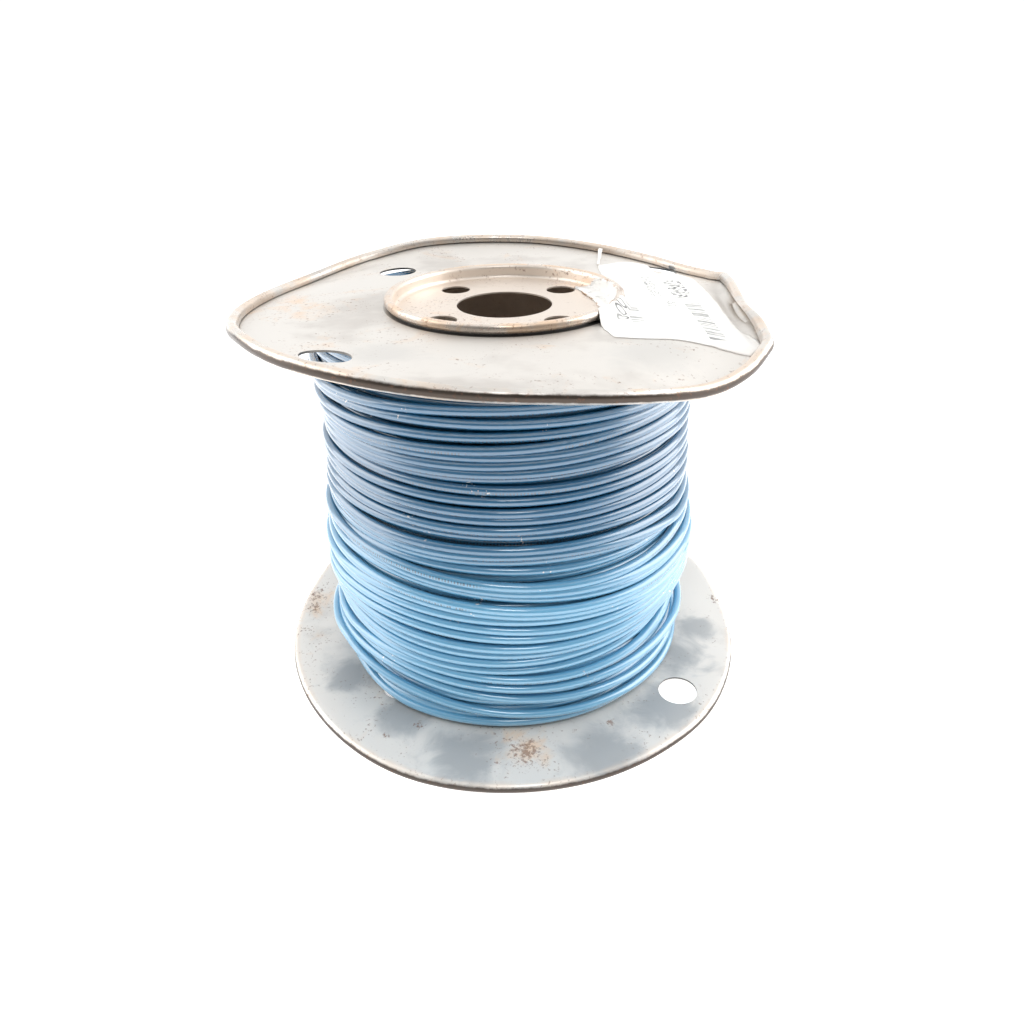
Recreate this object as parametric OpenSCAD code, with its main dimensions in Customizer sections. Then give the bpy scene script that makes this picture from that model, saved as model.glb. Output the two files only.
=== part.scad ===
// Steel reel with a part-used length of blue building wire on it.
// The reel is five pressed pieces: a rolled barrel, two flanges and two dished hub plates.
// At each end the barrel and the hub plate curl together over the flange's collar and hold it.
// The origin is on the reel's axis, in the plane that it stands on, and +Z runs up the axis.
// A bearing is an angle about the axis, in degrees from +X towards +Y.

/* [Flanges] */
// Outside diameter of each flange
flange_d = 165; // [160:1:180]
// Clear height between the two flanges
traverse = 118; // [90:1:150]
// Thickness of the flange sheet
flange_t = 0.6; // [0.4:0.1:0.9]
// Outside radius of the rolled edge of a flange
edge_r = 1.7; // [1.4:0.1:2]
// How far the rolled edge turns, in degrees
edge_turn = 295; // [250:5:300]
// Height of the collar that is drawn up round the hole in a flange
collar_h = 0.9; // [0.6:0.1:1.4]

/* [Hub] */
// Outside diameter of the barrel
barrel_d = 68.5; // [62:0.5:72]
// Thickness of the barrel sheet and of the hub plates
hub_t = 0.45; // [0.35:0.05:0.6]
// Radius inside the barrel's curl
curl_r = 0.45; // [0.35:0.05:0.8]
// How far the hub plate's curl turns, in degrees
curl_turn = 240; // [200:5:245]
// Depth of the flat that the seaming tool leaves on the crest of the curl
crest_flat = 0.1; // [0.05:0.05:0.2]
// Depth of the dish floor below the flange's outer face
dish_depth = 1.2; // [0.8:0.1:4]
// Radius of the corner between the dish floor and its wall
dish_corner_r = 1.2; // [0.8:0.1:2]
// Gap between the barrel and the hole in a flange
flange_gap = 0.05; // [0.05:0.05:0.2]
// Radius of the bead that the barrel has just inside each flange
stop_bead_r = 1; // [0.6:0.1:1.4]
// Width of the barrel's folded lock seam
lock_seam_w = 6; // [4:0.5:10]
// Bearing of the lock seam
lock_seam_at = 118; // [0:1:359]

/* [Drive] */
// Diameter of the arbor hole in each hub plate
arbor_d = 29; // [20:0.5:32]
// Diameter of a drive hole
drive_hole_d = 9.2; // [6:0.2:10]
// Diameter of the circle through the drive holes
drive_circle_d = 48; // [44:0.5:49]
// Number of drive holes in a hub plate
drive_holes = 4; // [2:1:6]
// Bearing of the first drive hole
drive_at = 41; // [0:1:89]

/* [Tie holes] */
// Diameter of a tie hole in a flange
tie_hole_d = 12.6; // [8:0.2:13]
// Radius from the axis to the inner tie hole
inner_tie_r = 54.5; // [50:0.5:58]
// Bearing of the inner tie hole on the upper flange
inner_tie_at = 133; // [100:1:160]
// Radius from the axis to the middle tie hole
middle_tie_r = 67.5; // [62:0.5:68]
// Bearing of the middle tie hole on the upper flange
middle_tie_at = 230; // [200:1:260]
// Radius from the axis to the outer tie hole
outer_tie_r = 71; // [66:0.5:71.5]
// Bearing of the outer tie hole on the upper flange
outer_tie_at = 39; // [20:1:60]

/* [Dents] */
// Radius at which the bends of the flange rims begin
dent_from_r = 58; // [50:1:62]
// How far the worst knock has pushed the upper rim in
knock_depth = 10.8; // [2:0.2:11]
// Bearing of that knock
knock_at = -6; // [-20:1:5]
// How far the sheet stands up along the knock
knock_lift = 3; // [0:0.1:5]
// Width of the strip that stands up along the knock
knock_band = 4; // [3:0.5:9]

/* [Wire] */
// Outside diameter of the wire over its jacket
wire_d = 2.8; // [2.4:0.1:3.2]
// Diameter of the copper conductor
conductor_d = 1.8; // [1.4:0.1:2.2]
// Bare copper that shows at the cut end
conductor_bare = 1.5; // [0.5:0.1:5]
// Loops in the outer layer
outer_loops = 24; // [12:1:24]
// Diameter over the winding at the lower flange
wound_lower_d = 121.4; // [100:0.2:124]
// Diameter over the winding half way up
wound_middle_d = 121.4; // [100:0.2:124]
// Diameter over the winding at the upper flange
wound_upper_d = 105.6; // [96:0.2:124]
// How far a loop strays from an even lay
lay_wander = 0.5; // [0:0.1:0.6]
// Bearing at which the outer layer starts and ends
wire_end_at = 96; // [0:1:359]
// How far the wire's jacket sinks into the layer below
lay_squeeze = 0.05; // [0:0.01:0.1]
// Gap between the winding and each flange
wound_gap = 0.2; // [0.1:0.1:1]

/* [Label] */
// Thickness of the label paper
paper_t = 0.15; // [0.1:0.05:0.3]
// Gap between the label and the hub seam
label_gap = 0.2; // [0.1:0.1:1]

/* [Hidden] */
$fn = 96;

// Colours of the steel, the wire and the paper
steel = [0.80, 0.77, 0.73];
jacket_blue = [0.40, 0.66, 0.86];
copper = [0.78, 0.46, 0.30];
paper_white = [0.97, 0.96, 0.93];

// Radii across the hub seam, outwards from the axis
barrel_r = barrel_d / 2;
barrel_inner_r = barrel_r - hub_t;
wall_inner_r = barrel_inner_r - hub_t;
seam_r = barrel_r + curl_r;
seam_tube_r = curl_r + 2 * hub_t;
seam_outer_r = seam_r + seam_tube_r;
// Heights across the hub seam, from the flange's outer face
seam_z = collar_h + curl_r + hub_t;
crest_z = seam_z + seam_tube_r - crest_flat;
// Heights up the axis
lower_face_z = crest_z;
lower_inner_z = lower_face_z + flange_t;
upper_inner_z = lower_inner_z + traverse;
upper_face_z = upper_inner_z + flange_t;
mid_z = (lower_inner_z + upper_inner_z) / 2;

flange_r = flange_d / 2;
flange_hole_r = barrel_r + flange_gap;
// Outside radius of the collar, which is drawn thinner than the sheet
collar_r = flange_hole_r + 0.7 * flange_t;
// Steps round a flange, and the sheet's rings between the hub and the rolled edge
flange_steps = 72;
step_angle = 360 / flange_steps;
dent_rings = 4;
// Overlap that a cutting shape has beyond the face that it cuts
cut = 1;

// Rim shape of the upper flange: [bearing, how far in, how far out along the axis]
upper_dents = [
    [-180, 1.8, -2.3], [-163, 2.5, 0.2], [-146, 1.2, 3.1], [-132, 0.4, 2.8], [-114, 0.1, 2.2],
    [-98, 0.3, 1], [-83, 0.3, -0.3], [-68, 0, -2.5], [-54, 0, -4.8], [-44, -0.2, -3.7],
    [-34, 0.6, -1.1], [-6, 1.8, -3.1], [20, 2.7, -2.9], [34, 2.5, -3.6], [46, 1.1, -2.8],
    [64, 0, -0.8], [86, 0, 1.3], [112, 0, 1.6], [128, 0, -0.7], [147, 0.6, -3.3],
    [160, 1.2, -3.4], [180, 1.8, -2.3]
];
// Rim shape of the lower flange, in the same terms
lower_dents = [
    [-180, 1, 0], [-155, 1.1, -0.4], [-140, 0.7, -0.6], [-114, -0.2, 0.1], [-90, 0, 0],
    [-57, -0.3, 0], [-42, -0.8, 0.1], [-28, -0.3, 0.1], [-6, 0.6, 0], [4, 1.1, -0.3],
    [20, 0.4, -2.2], [36, 0, 0], [60, 0, 0.1], [90, 0, -0.4], [130, 0, 0], [152, -0.3, -2.8],
    [168, 0.1, 0], [180, 1, 0]
];

// ---- Curves ----

// Rises smoothly from 0 to 1 as x goes from 0 to 1
function ease(x) = let (c = min(max(x, 0), 1)) c * c * (3 - 2 * c);

// Bearing in the range -180 to 180
function turned(a) = a - 360 * floor((a + 180) / 360);

// Row of a dent table at or below a bearing
function row_below(table, a, i = 0) =
    i + 2 >= len(table) || a < table[i + 1][0] ? i : row_below(table, a, i + 1);

// Slope of a dent table's column at a row, with the table closed round the rim
function row_slope(table, i, column) =
    let (
        last = len(table) - 1,
        wraps = i == 0 || i == last,
        before = wraps ? last - 1 : i - 1,
        after = wraps ? 1 : i + 1,
        span = table[after][0] - table[before][0] + (wraps ? 360 : 0)
    )
    (table[after][column] - table[before][column]) / span;

// Value of a dent table's column at a bearing, as a smooth curve through its rows
function dent(table, a, column) =
    let (
        b = turned(a),
        i = row_below(table, b),
        span = table[i + 1][0] - table[i][0],
        x = (b - table[i][0]) / span,
        v0 = table[i][column],
        v1 = table[i + 1][column],
        s0 = row_slope(table, i, column) * span,
        s1 = row_slope(table, i + 1, column) * span
    )
    v0 * (1 + 2 * x) * (1 - x) * (1 - x) + s0 * x * (1 - x) * (1 - x)
        + v1 * x * x * (3 - 2 * x) - s1 * x * x * (1 - x);

// Bearing away from the middle of the knock
function off_knock(a) = abs(turned(a - knock_at));

// Radius of the rim at a bearing: the dented circle, cut straight across where it was knocked
function rim_r(table, knock, a) =
    let (
        round_r = flange_r - dent(table, a, 1),
        flat_r = (flange_r - knock) / max(cos(min(off_knock(a), 60)), 0.5)
    )
    knock > 0 && off_knock(a) < 60 ? min(round_r, flat_r) : round_r;

// How far the sheet stands out along the axis at a radius and bearing
function sheet_lift(table, knock, r, a) =
    let (
        sheet_end_r = rim_r(table, knock, a) - edge_r,
        bend = dent(table, a, 2) * ease((r - dent_from_r) / (sheet_end_r - dent_from_r)),
        half_knock = acos((flange_r - knock) / flange_r),
        along = knock > 0 ? max(1 - pow(off_knock(a) / half_knock, 2), 0) : 0,
        across = ease((r - sheet_end_r + knock_band) / knock_band)
    )
    bend + knock_lift * along * across;

// Radius of the winding's outside at a height between the flanges
function wound_r(z) =
    let (u = (z - lower_inner_z) / traverse)
    (wound_lower_d * (1 - u) * (1 - 2 * u) + 4 * wound_middle_d * u * (1 - u)
        + wound_upper_d * u * (2 * u - 1)) / 2;

// ---- Flanges ----

// Points across a flange at one bearing, from the collar out over the sheet, round and back
roll_from = -90;
roll_steps = 6;
roll_angles = [for (i = [0:roll_steps]) roll_from + edge_turn * i / roll_steps];
roll_centre_z = edge_r - flange_t;

function ring_r(end_r, i) =
    i == 0 ? flange_hole_r - cut : dent_from_r + (end_r - dent_from_r) * (i - 1) / dent_rings;

function sheet_points(table, knock, a, z, first, last, step) =
    let (end_r = rim_r(table, knock, a) - edge_r)
    [for (i = [first:step:last]) let (r = ring_r(end_r, i)) [r, z + sheet_lift(table, knock, r, a)]];

function roll_points(table, knock, a, tube_r, angles) =
    let (
        centre_r = rim_r(table, knock, a) - edge_r,
        centre_z = roll_centre_z + sheet_lift(table, knock, centre_r, a)
    )
    [for (q = angles) [centre_r + tube_r * cos(q), centre_z + tube_r * sin(q)]];

function flange_section(table, knock, a) = concat(
    [[collar_r, collar_h], [collar_r, 0]],
    sheet_points(table, knock, a, 0, 1, dent_rings, 1),
    roll_points(table, knock, a, edge_r - flange_t, [for (i = [0:roll_steps]) roll_angles[i]]),
    roll_points(table, knock, a, edge_r, [for (i = [roll_steps:-1:0]) roll_angles[i]]),
    sheet_points(table, knock, a, -flange_t, dent_rings, 0, -1),
    [[flange_hole_r - cut, collar_h]]
);

// Sweeps closed sections, one per step, into a solid ring or into an open run with two ends.
// The second half of a sheet's section runs back under the first half, so its quads split the
// other way, and the sheet's two faces keep the same facets.
module swept(sections, closed) {
    count = len(sections[0]);
    turns = len(sections);
    sides = [
        for (j = [0:(closed ? turns : turns - 1) - 1])
        for (i = [0:count - 1])
        let (
            here = j * count,
            next = (j + 1) % turns * count,
            k = (i + 1) % count
        )
        each i < count / 2
            ? [[here + i, next + k, here + k], [here + i, next + i, next + k]]
            : [[here + i, next + i, here + k], [next + i, next + k, here + k]]
    ];
    ends = closed ? [] : [
        [for (i = [0:count - 1]) i],
        [for (i = [count - 1:-1:0]) (turns - 1) * count + i]
    ];
    polyhedron(points = [for (s = sections) each s], faces = concat(sides, ends), convexity = 8);
}

// Places a section's [radius, height] points at a bearing
function placed(section, a) = [for (p = section) [p[0] * cos(a), p[0] * sin(a), p[1]]];

// A flange with its outer face at z = 0 and upwards
module flange(table, knock, hand) {
    difference() {
        swept([
            for (j = [0:flange_steps - 1])
            placed(flange_section(table, knock, j * step_angle), j * step_angle)
        ], true);
        translate([0, 0, -flange_t - cut])
            cylinder(h = flange_t + collar_h + 2 * cut, r = flange_hole_r);
        tie_hole_cut(inner_tie_r, hand * inner_tie_at);
        tie_hole_cut(middle_tie_r, hand * middle_tie_at);
        tie_hole_cut(outer_tie_r, hand * outer_tie_at);
    }
}

module tie_hole_cut(r, bearing) {
    reach = 4;
    rotate([0, 0, bearing])
        translate([r, 0, -flange_t - reach])
            cylinder(h = flange_t + 2 * reach, d = tie_hole_d);
}

module upper_flange() {
    color(steel)
        translate([0, 0, upper_face_z])
            flange(upper_dents, knock_depth, 1);
}

// The lower flange is the same pressing turned over
module lower_flange() {
    color(steel)
        translate([0, 0, lower_face_z])
            mirror([0, 0, 1])
                flange(lower_dents, 0, -1);
}

// ---- Hub ----

// Part of a flat ring between two angles, up to 180 degrees apart at a time
module ring_part(outer_r, inner_r, from, turn) {
    far = 2 * outer_r;
    halves = turn > 180 ? 2 : 1;
    for (k = [0:halves - 1]) {
        a = from + k * 180;
        t = k < halves - 1 ? 180 : turn - k * 180;
        intersection() {
            difference() {
                circle(outer_r);
                circle(inner_r);
            }
            polygon([
                [0, 0],
                [far * cos(a), far * sin(a)],
                [far * cos(a + t / 3), far * sin(a + t / 3)],
                [far * cos(a + 2 * t / 3), far * sin(a + 2 * t / 3)],
                [far * cos(a + t), far * sin(a + t)]
            ]);
        }
    }
}

// Section of the barrel's upper half, with the flange's outer face at y = 0
module barrel_end_section(length) {
    translate([barrel_inner_r, -length])
        square([hub_t, length + seam_z]);
    translate([seam_r, seam_z])
        ring_part(curl_r + hub_t, curl_r, -90, 270);
    translate([barrel_r, -flange_t - stop_bead_r])
        intersection() {
            circle(stop_bead_r);
            translate([-hub_t / 2, -stop_bead_r])
                square(2 * stop_bead_r);
        }
}

// Section of a hub plate, with the flange's outer face at y = 0
module hub_plate_section() {
    floor_end_r = wall_inner_r - dish_corner_r;
    corner_y = dish_corner_r - dish_depth;
    translate([arbor_d / 2, -dish_depth - hub_t])
        square([floor_end_r - arbor_d / 2, hub_t]);
    translate([floor_end_r, corner_y])
        ring_part(dish_corner_r + hub_t, dish_corner_r, -90, 90);
    translate([wall_inner_r, corner_y])
        square([hub_t, seam_z - corner_y]);
    intersection() {
        translate([seam_r, seam_z])
            ring_part(seam_tube_r, curl_r + hub_t, 180 - curl_turn, curl_turn);
        translate([0, -crest_z])
            square([2 * seam_outer_r, 2 * crest_z]);
    }
}

module drive_hole_cuts() {
    for (k = [0:drive_holes - 1])
        rotate([0, 0, drive_at + 360 * k / drive_holes])
            translate([drive_circle_d / 2, 0, -dish_depth - hub_t - cut])
                cylinder(h = hub_t + 2 * cut, d = drive_hole_d);
}

module hub_plate() {
    difference() {
        rotate_extrude()
            hub_plate_section();
        drive_hole_cuts();
    }
}

module upper_hub_plate() {
    color(steel)
        translate([0, 0, upper_face_z])
            hub_plate();
}

module lower_hub_plate() {
    color(steel)
        translate([0, 0, lower_face_z])
            mirror([0, 0, 1])
                hub_plate();
}

module lock_seam() {
    seam_angle = lock_seam_w / barrel_inner_r * 180 / PI;
    clear_of_dish = 2;
    end_depth = dish_depth + hub_t + clear_of_dish;
    seam_h = upper_face_z - lower_face_z - 2 * end_depth;
    translate([0, 0, lower_face_z + end_depth])
        rotate([0, 0, lock_seam_at])
            rotate_extrude(angle = seam_angle)
                translate([barrel_inner_r - hub_t, 0])
                    square([1.5 * hub_t, seam_h]);
}

module barrel() {
    half = upper_face_z - mid_z;
    color(steel) union() {
        translate([0, 0, upper_face_z])
            rotate_extrude()
                barrel_end_section(half);
        translate([0, 0, lower_face_z])
            mirror([0, 0, 1])
                rotate_extrude()
                    barrel_end_section(half);
        lock_seam();
    }
}

// ---- Wire ----

loop_steps = 24;
tube_sides = 6;
loop_points = outer_loops * loop_steps;
first_z = lower_inner_z + wound_gap + wire_d / 2 + lay_wander;
last_z = upper_inner_z - wound_gap - wire_d / 2 - lay_wander;
// Number of slow strays from an even lay over the whole height
stray_waves = 7;

function path_angle(i) = wire_end_at + 360 * i / loop_steps;

function path_z(i) =
    first_z + (last_z - first_z) * i / loop_points
        + lay_wander * sin(360 * stray_waves * i / loop_points);

function path_r(i) = wound_r(path_z(i)) - wire_d / 2;

function path_point(i) =
    [path_r(i) * cos(path_angle(i)), path_r(i) * sin(path_angle(i)), path_z(i)];

// Least distance from a point of the path to the loop after it, less the wire's own diameter
function gap_after(i) =
    min([for (j = [loop_steps / 2:3 * loop_steps / 2])
        i + j <= loop_points ? norm(path_point(i) - path_point(i + j)) - wire_d : wire_d]);

module wire_outer_layer() {
    echo(least_gap_between_loops_mm = min([for (i = [0:loop_points]) gap_after(i)]));
    color(jacket_blue)
        swept([
            for (i = [0:loop_points])
            placed([
                for (k = [0:tube_sides - 1])
                let (q = -360 * k / tube_sides)
                [path_r(i) + wire_d / 2 * cos(q), path_z(i) + wire_d / 2 * sin(q)]
            ], path_angle(i))
        ], false);
}

// Bare copper at the cut end of the outer layer
module conductor_end() {
    color(copper)
        translate(path_point(loop_points))
            rotate([0, 0, path_angle(loop_points)])
                rotate([-90, 0, 0])
                    cylinder(h = conductor_bare, d = conductor_d, $fn = 24);
}

// Layers under the outer one, as one plain solid that the loops lie on
module wire_core() {
    low = lower_inner_z + wound_gap;
    high = upper_inner_z - wound_gap;
    rows = 12;
    bead_z = 2 * stop_bead_r;
    bead_clear_r = barrel_r + stop_bead_r;
    chord = cos(180 / loop_steps);
    outline = [
        for (k = [0:rows])
        let (z = low + (high - low) * k / rows)
        [(wound_r(z) - wire_d) * chord + lay_squeeze, z]
    ];
    color(jacket_blue * 0.8)
        rotate_extrude()
            polygon(concat(
                outline,
                [
                    [bead_clear_r, high],
                    [bead_clear_r, upper_inner_z - bead_z],
                    [barrel_r, upper_inner_z - bead_z],
                    [barrel_r, lower_inner_z + bead_z],
                    [bead_clear_r, lower_inner_z + bead_z],
                    [bead_clear_r, low]
                ]
            ));
}

// ---- Label ----

// Paper lying on the upper flange's outer face, between two bearings
module paper_skin(from, to) {
    first = floor(from / step_angle);
    last = ceil(to / step_angle);
    translate([0, 0, upper_face_z])
        swept([
            for (j = [first:last])
            let (
                a = j * step_angle,
                over = sheet_points(upper_dents, knock_depth, a, paper_t, 0, dent_rings + 1, 1),
                under = sheet_points(upper_dents, knock_depth, a, 0, dent_rings + 1, 0, -1)
            )
            placed(concat(over, under), a)
        ], false);
}

// Point on the upper flange at a bearing, a share of the way in from the rolled edge to the hub seam
function inside_rim(a, share) =
    let (sheet_end_r = rim_r(upper_dents, knock_depth, a) - edge_r)
    (sheet_end_r - share * (sheet_end_r - label_inner_r)) * [cos(a), sin(a)];

module cut_to(outline) {
    tall = 30;
    intersection() {
        children();
        translate([0, 0, upper_face_z - tall / 2])
            linear_extrude(height = tall)
                polygon(outline);
    }
}

// Where the label and the strip stop short of the hub seam
label_inner_r = seam_outer_r + label_gap;
// The label's torn and cut edges away from the hub: [bearing, share of the way in from the rolled edge]
label_edge = [
    [51, 0.6], [53, 0.41], [51, 0.29], [45, 0.16], [40, 0.26], [34, 0.38], [32, 0.26], [31.5, 0.13],
    [27, 0.18], [18, 0.22], [5, 0.16], [-12, 0.13], [-24, 0.12], [-28, 0.05], [-33, 0.02],
    [-40, 0.05], [-39, 0.21], [-38, 0.36], [-41, 0.51], [-45, 0.68], [-47, 0.83]
];
// Its outline, seen from above: that edge, closed along the hub seam
seam_side = [-44, -36, -28, -20, -12, -4, 4, 12, 20, 28, 36, 44];
label_outline = concat(
    [for (a = seam_side) label_inner_r * [cos(a), sin(a)]],
    [for (e = label_edge) inside_rim(e[0], e[1])]
);
// Bearings between which the label's paper is drawn before it is cut
label_from = -56;
label_to = 56;

module label() {
    color(paper_white)
        cut_to(label_outline)
            paper_skin(label_from, label_to);
}

// A piece torn off the label, stuck in the dish and up over the seam: [bearing, distance outside the wall]
torn_edge = [
    [37, -5.1], [30, -1.1], [13, 2], [0, 1.2], [-14, 0.6], [-25, 0.8], [-10, -5.1], [17.5, -6.8]
];
torn_outline = [for (e = torn_edge) (wall_inner_r + e[1]) * [cos(e[0]), sin(e[0])]];

module label_torn_piece() {
    floor_end_r = wall_inner_r - dish_corner_r;
    corner_y = dish_corner_r - dish_depth;
    color(paper_white)
        cut_to(torn_outline)
            translate([0, 0, upper_face_z])
                rotate_extrude()
                    union() {
                        translate([arbor_d / 2, -dish_depth])
                            square([floor_end_r - arbor_d / 2, paper_t]);
                        translate([floor_end_r, corner_y])
                            ring_part(dish_corner_r, dish_corner_r - paper_t, -90, 90);
                        translate([wall_inner_r - paper_t, corner_y])
                            square([paper_t, seam_z - corner_y]);
                        translate([seam_r, seam_z])
                            ring_part(seam_tube_r + paper_t, seam_tube_r, 60, 120);
                    }
}

// A narrow strip torn from the label, that runs out to the rim
strip_inner = 0.57;
strip_outer = 0.023;
strip_outline = [
    inside_rim(51.8, strip_inner), inside_rim(53.3, strip_inner),
    inside_rim(62.6, strip_outer), inside_rim(61.7, strip_outer)
];
// Bearings between which the strip's paper is drawn before it is cut
strip_from = 50;
strip_to = 66;

module label_strip() {
    color(paper_white)
        cut_to(strip_outline)
            paper_skin(strip_from, strip_to);
}

barrel();
upper_hub_plate();
lower_hub_plate();
upper_flange();
lower_flange();
wire_core();
wire_outer_layer();
conductor_end();
label();
label_torn_piece();
label_strip();
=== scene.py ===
"""Wire spool: a bent steel reel with a part-used winding of blue building wire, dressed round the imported
model."""

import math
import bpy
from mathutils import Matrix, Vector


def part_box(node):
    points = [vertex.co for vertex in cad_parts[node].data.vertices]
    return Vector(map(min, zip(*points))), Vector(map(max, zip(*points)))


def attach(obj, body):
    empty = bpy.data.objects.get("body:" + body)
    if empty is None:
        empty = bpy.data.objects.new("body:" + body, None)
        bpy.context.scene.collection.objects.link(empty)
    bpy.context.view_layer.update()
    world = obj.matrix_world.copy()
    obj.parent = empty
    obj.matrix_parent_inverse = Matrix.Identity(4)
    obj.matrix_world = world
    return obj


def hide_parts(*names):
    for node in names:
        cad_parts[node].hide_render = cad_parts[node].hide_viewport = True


bl_info = {
    "name": "Wire Spool",
    "version": (1, 0, 0),
    "blender": (4, 5, 0),
    "location": "View3D > Sidebar > Wire Spool",
    "description": "Builds a worn steel wire reel with its winding, its torn label and a small studio",
    "category": "Add Mesh",
}

from functools import partial

import bpy
import numpy as np
from mathutils import Matrix
from bpy.props import FloatProperty, FloatVectorProperty, PointerProperty

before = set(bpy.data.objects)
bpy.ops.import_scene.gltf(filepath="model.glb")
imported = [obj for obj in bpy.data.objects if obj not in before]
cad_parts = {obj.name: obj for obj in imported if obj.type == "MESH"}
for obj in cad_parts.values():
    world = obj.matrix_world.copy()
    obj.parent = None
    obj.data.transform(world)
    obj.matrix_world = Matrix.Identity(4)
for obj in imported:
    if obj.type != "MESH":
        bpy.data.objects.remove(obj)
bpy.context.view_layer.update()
MM = 0.001


# ---- Sizes and colours that a user would change ----

def length(name, description, millimetres):
    """A length property in metres, whose default is given in millimetres."""
    return FloatProperty(name=name, description=description, default=millimetres * MM, unit="LENGTH")


def tint(name, description, code):
    """A colour property, whose default is an sRGB hex value."""
    return FloatVectorProperty(name=name, description=description, default=linear(code)[:3],
                               subtype="COLOR", size=3, min=0, max=1)


def linear(code):
    """sRGB hex value such as "C8B9A6" as linear RGBA."""
    share = np.array([int(code[i:i + 2], 16) for i in (0, 2, 4)]) / 255
    low = share / 12.92
    high = ((share + 0.055) / 1.055) ** 2.4
    return (*np.where(share <= 0.04045, low, high).tolist(), 1.0)


class FlangeSizes(bpy.types.PropertyGroup):
    diameter: length("Diameter", "Outside diameter of a flange", 165)
    sheet: length("Sheet", "Thickness of the flange sheet", 0.6)
    roll: length("Rolled edge", "Outside radius of the rolled edge", 1.7)
    collar: length("Collar", "Height of the collar round the hole", 0.9)
    bend_from: length("Bends from", "Radius at which the bends of the rims begin", 58)
    knock_depth: length("Knock", "How far the worst knock has pushed the upper rim in", 10.8)
    knock_lift: length("Knock lift", "How far the sheet stands up along the knock", 3)
    knock_band: length("Knock band", "Width of the strip that stands up along the knock", 4)
    tie_hole: length("Tie hole", "Diameter of a tie hole", 12.6)


class HubSizes(bpy.types.PropertyGroup):
    barrel: length("Barrel", "Outside diameter of the barrel", 68.5)
    sheet: length("Sheet", "Thickness of the barrel and of the hub plates", 0.45)
    curl: length("Curl", "Radius inside the barrel's curl", 0.45)
    dish: length("Dish", "Depth of the dish floor below the flange's outer face", 1.2)
    dish_corner: length("Dish corner", "Radius between the dish floor and its wall", 1.2)


class WireSizes(bpy.types.PropertyGroup):
    diameter: length("Wire", "Outside diameter over the jacket", 2.8)
    over_bottom: length("Over the bottom", "Diameter over the winding at the lower flange", 121.4)
    over_middle: length("Over the middle", "Diameter over the winding half way up", 121.4)
    over_top: length("Over the top", "Diameter over the winding at the upper flange", 105.6)


class PaperSizes(bpy.types.PropertyGroup):
    thickness: length("Paper", "Thickness of the label paper", 0.12)
    float_gap: length("Gap", "Air between the paper and the steel", 0.06)


class Finishes(bpy.types.PropertyGroup):
    tin: tint("Tin", "Bright tinplate", "E6E3DE")
    dull_tin: tint("Dull tin", "Tinplate where it has clouded", "CFCBC6")
    # On the lower flange this colour is laid as painted shade and a painted reflection of the winding
    smear_and_shade: tint("Smear", "Blue-grey film of handling marks", "9DA3A7")
    bloom: tint("Rust bloom", "Thin peach rust film", "E8C8A8")
    # Partly real brown film, partly a painted dark reflection on the rolled edges' flank
    rim_brown_and_reflection: tint("Rim brown", "Brown film along the rolled edges", "50463F")
    rust: tint("Rust", "Brown rust in specks and patches", "7A5138")
    jacket: tint("Jacket", "Light blue wire jacket", "68A9CD")
    # Darker blue for grime and for painted shade on the upper turns
    jacket_grimed_and_shaded: tint("Dull jacket", "Jacket with grime on it", "27648A")
    ink: tint("Ink", "Marks printed on the jacket and the label", "43474B")
    paper: tint("Paper", "Label paper", "F2F1EE")
    glue: tint("Glue", "Torn paper edge with old glue", "B98A5C")


def sizes(group):
    """One group of the spool's sizes in the current scene."""
    return getattr(bpy.context.scene, group)


# ---- Surfaces ----

def grid_quads(rows, columns, wrap_rows, wrap_columns):
    """Quads of a grid of rows x columns points, each to the next row and the next column."""
    i, j = np.indices((rows - (not wrap_rows), columns - (not wrap_columns)))
    k, m = (i + 1) % rows, (j + 1) % columns
    quads = [i * columns + j, k * columns + j, k * columns + m, i * columns + m]
    return np.stack(quads, axis=-1).reshape(-1, 4)


def surface(name, points, wrap_rows=False, wrap_columns=False, caps=False, uv=None, marks=None):
    """A mesh object from a grid of points, with smooth faces. A closed one is turned so that it faces
    outwards. caps closes the first and last rows, uv is a grid of (u, v), and marks are grids by name."""
    rows, columns = points.shape[:2]
    quads = grid_quads(rows, columns, wrap_rows, wrap_columns)
    last = (rows - 1) * columns
    ends = [list(range(columns)), list(range(last + columns - 1, last - 1, -1))] if caps else []
    flat = points.reshape(-1, 3)
    if wrap_columns and (caps or wrap_rows):
        a, b, c, d = (flat[quads[:, k]] for k in range(4))
        if np.sum(np.cross(b - a, c - a) * a) + np.sum(np.cross(c - a, d - a) * a) < 0:
            quads = quads[:, ::-1]
            ends = [end[::-1] for end in ends]
    mesh = bpy.data.meshes.new(name)
    mesh.from_pydata(flat.tolist(), [], quads.tolist() + ends)
    if uv is not None:
        corners = np.zeros(len(mesh.loops), np.int32)
        mesh.loops.foreach_get("vertex_index", corners)
        at_corners = uv.reshape(-1, 2)[corners].astype(np.float32)
        mesh.uv_layers.new(name="lay").data.foreach_set("uv", at_corners.ravel())
    for mark, values in (marks or {}).items():
        layer = mesh.attributes.new(mark, "FLOAT", "POINT")
        layer.data.foreach_set("value", values.astype(np.float32).ravel())
    mesh.validate()
    mesh.shade_smooth()
    obj = bpy.data.objects.new(name, mesh)
    bpy.context.scene.collection.objects.link(obj)
    return obj


def finish_piece(obj, material, replaced):
    """Gives a piece its material and its body, and hides the CAD nodes that it stands for."""
    obj.data.materials.append(material)
    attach(obj, "root")
    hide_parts(*replaced)


HOLE_SIDES = 96


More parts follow.
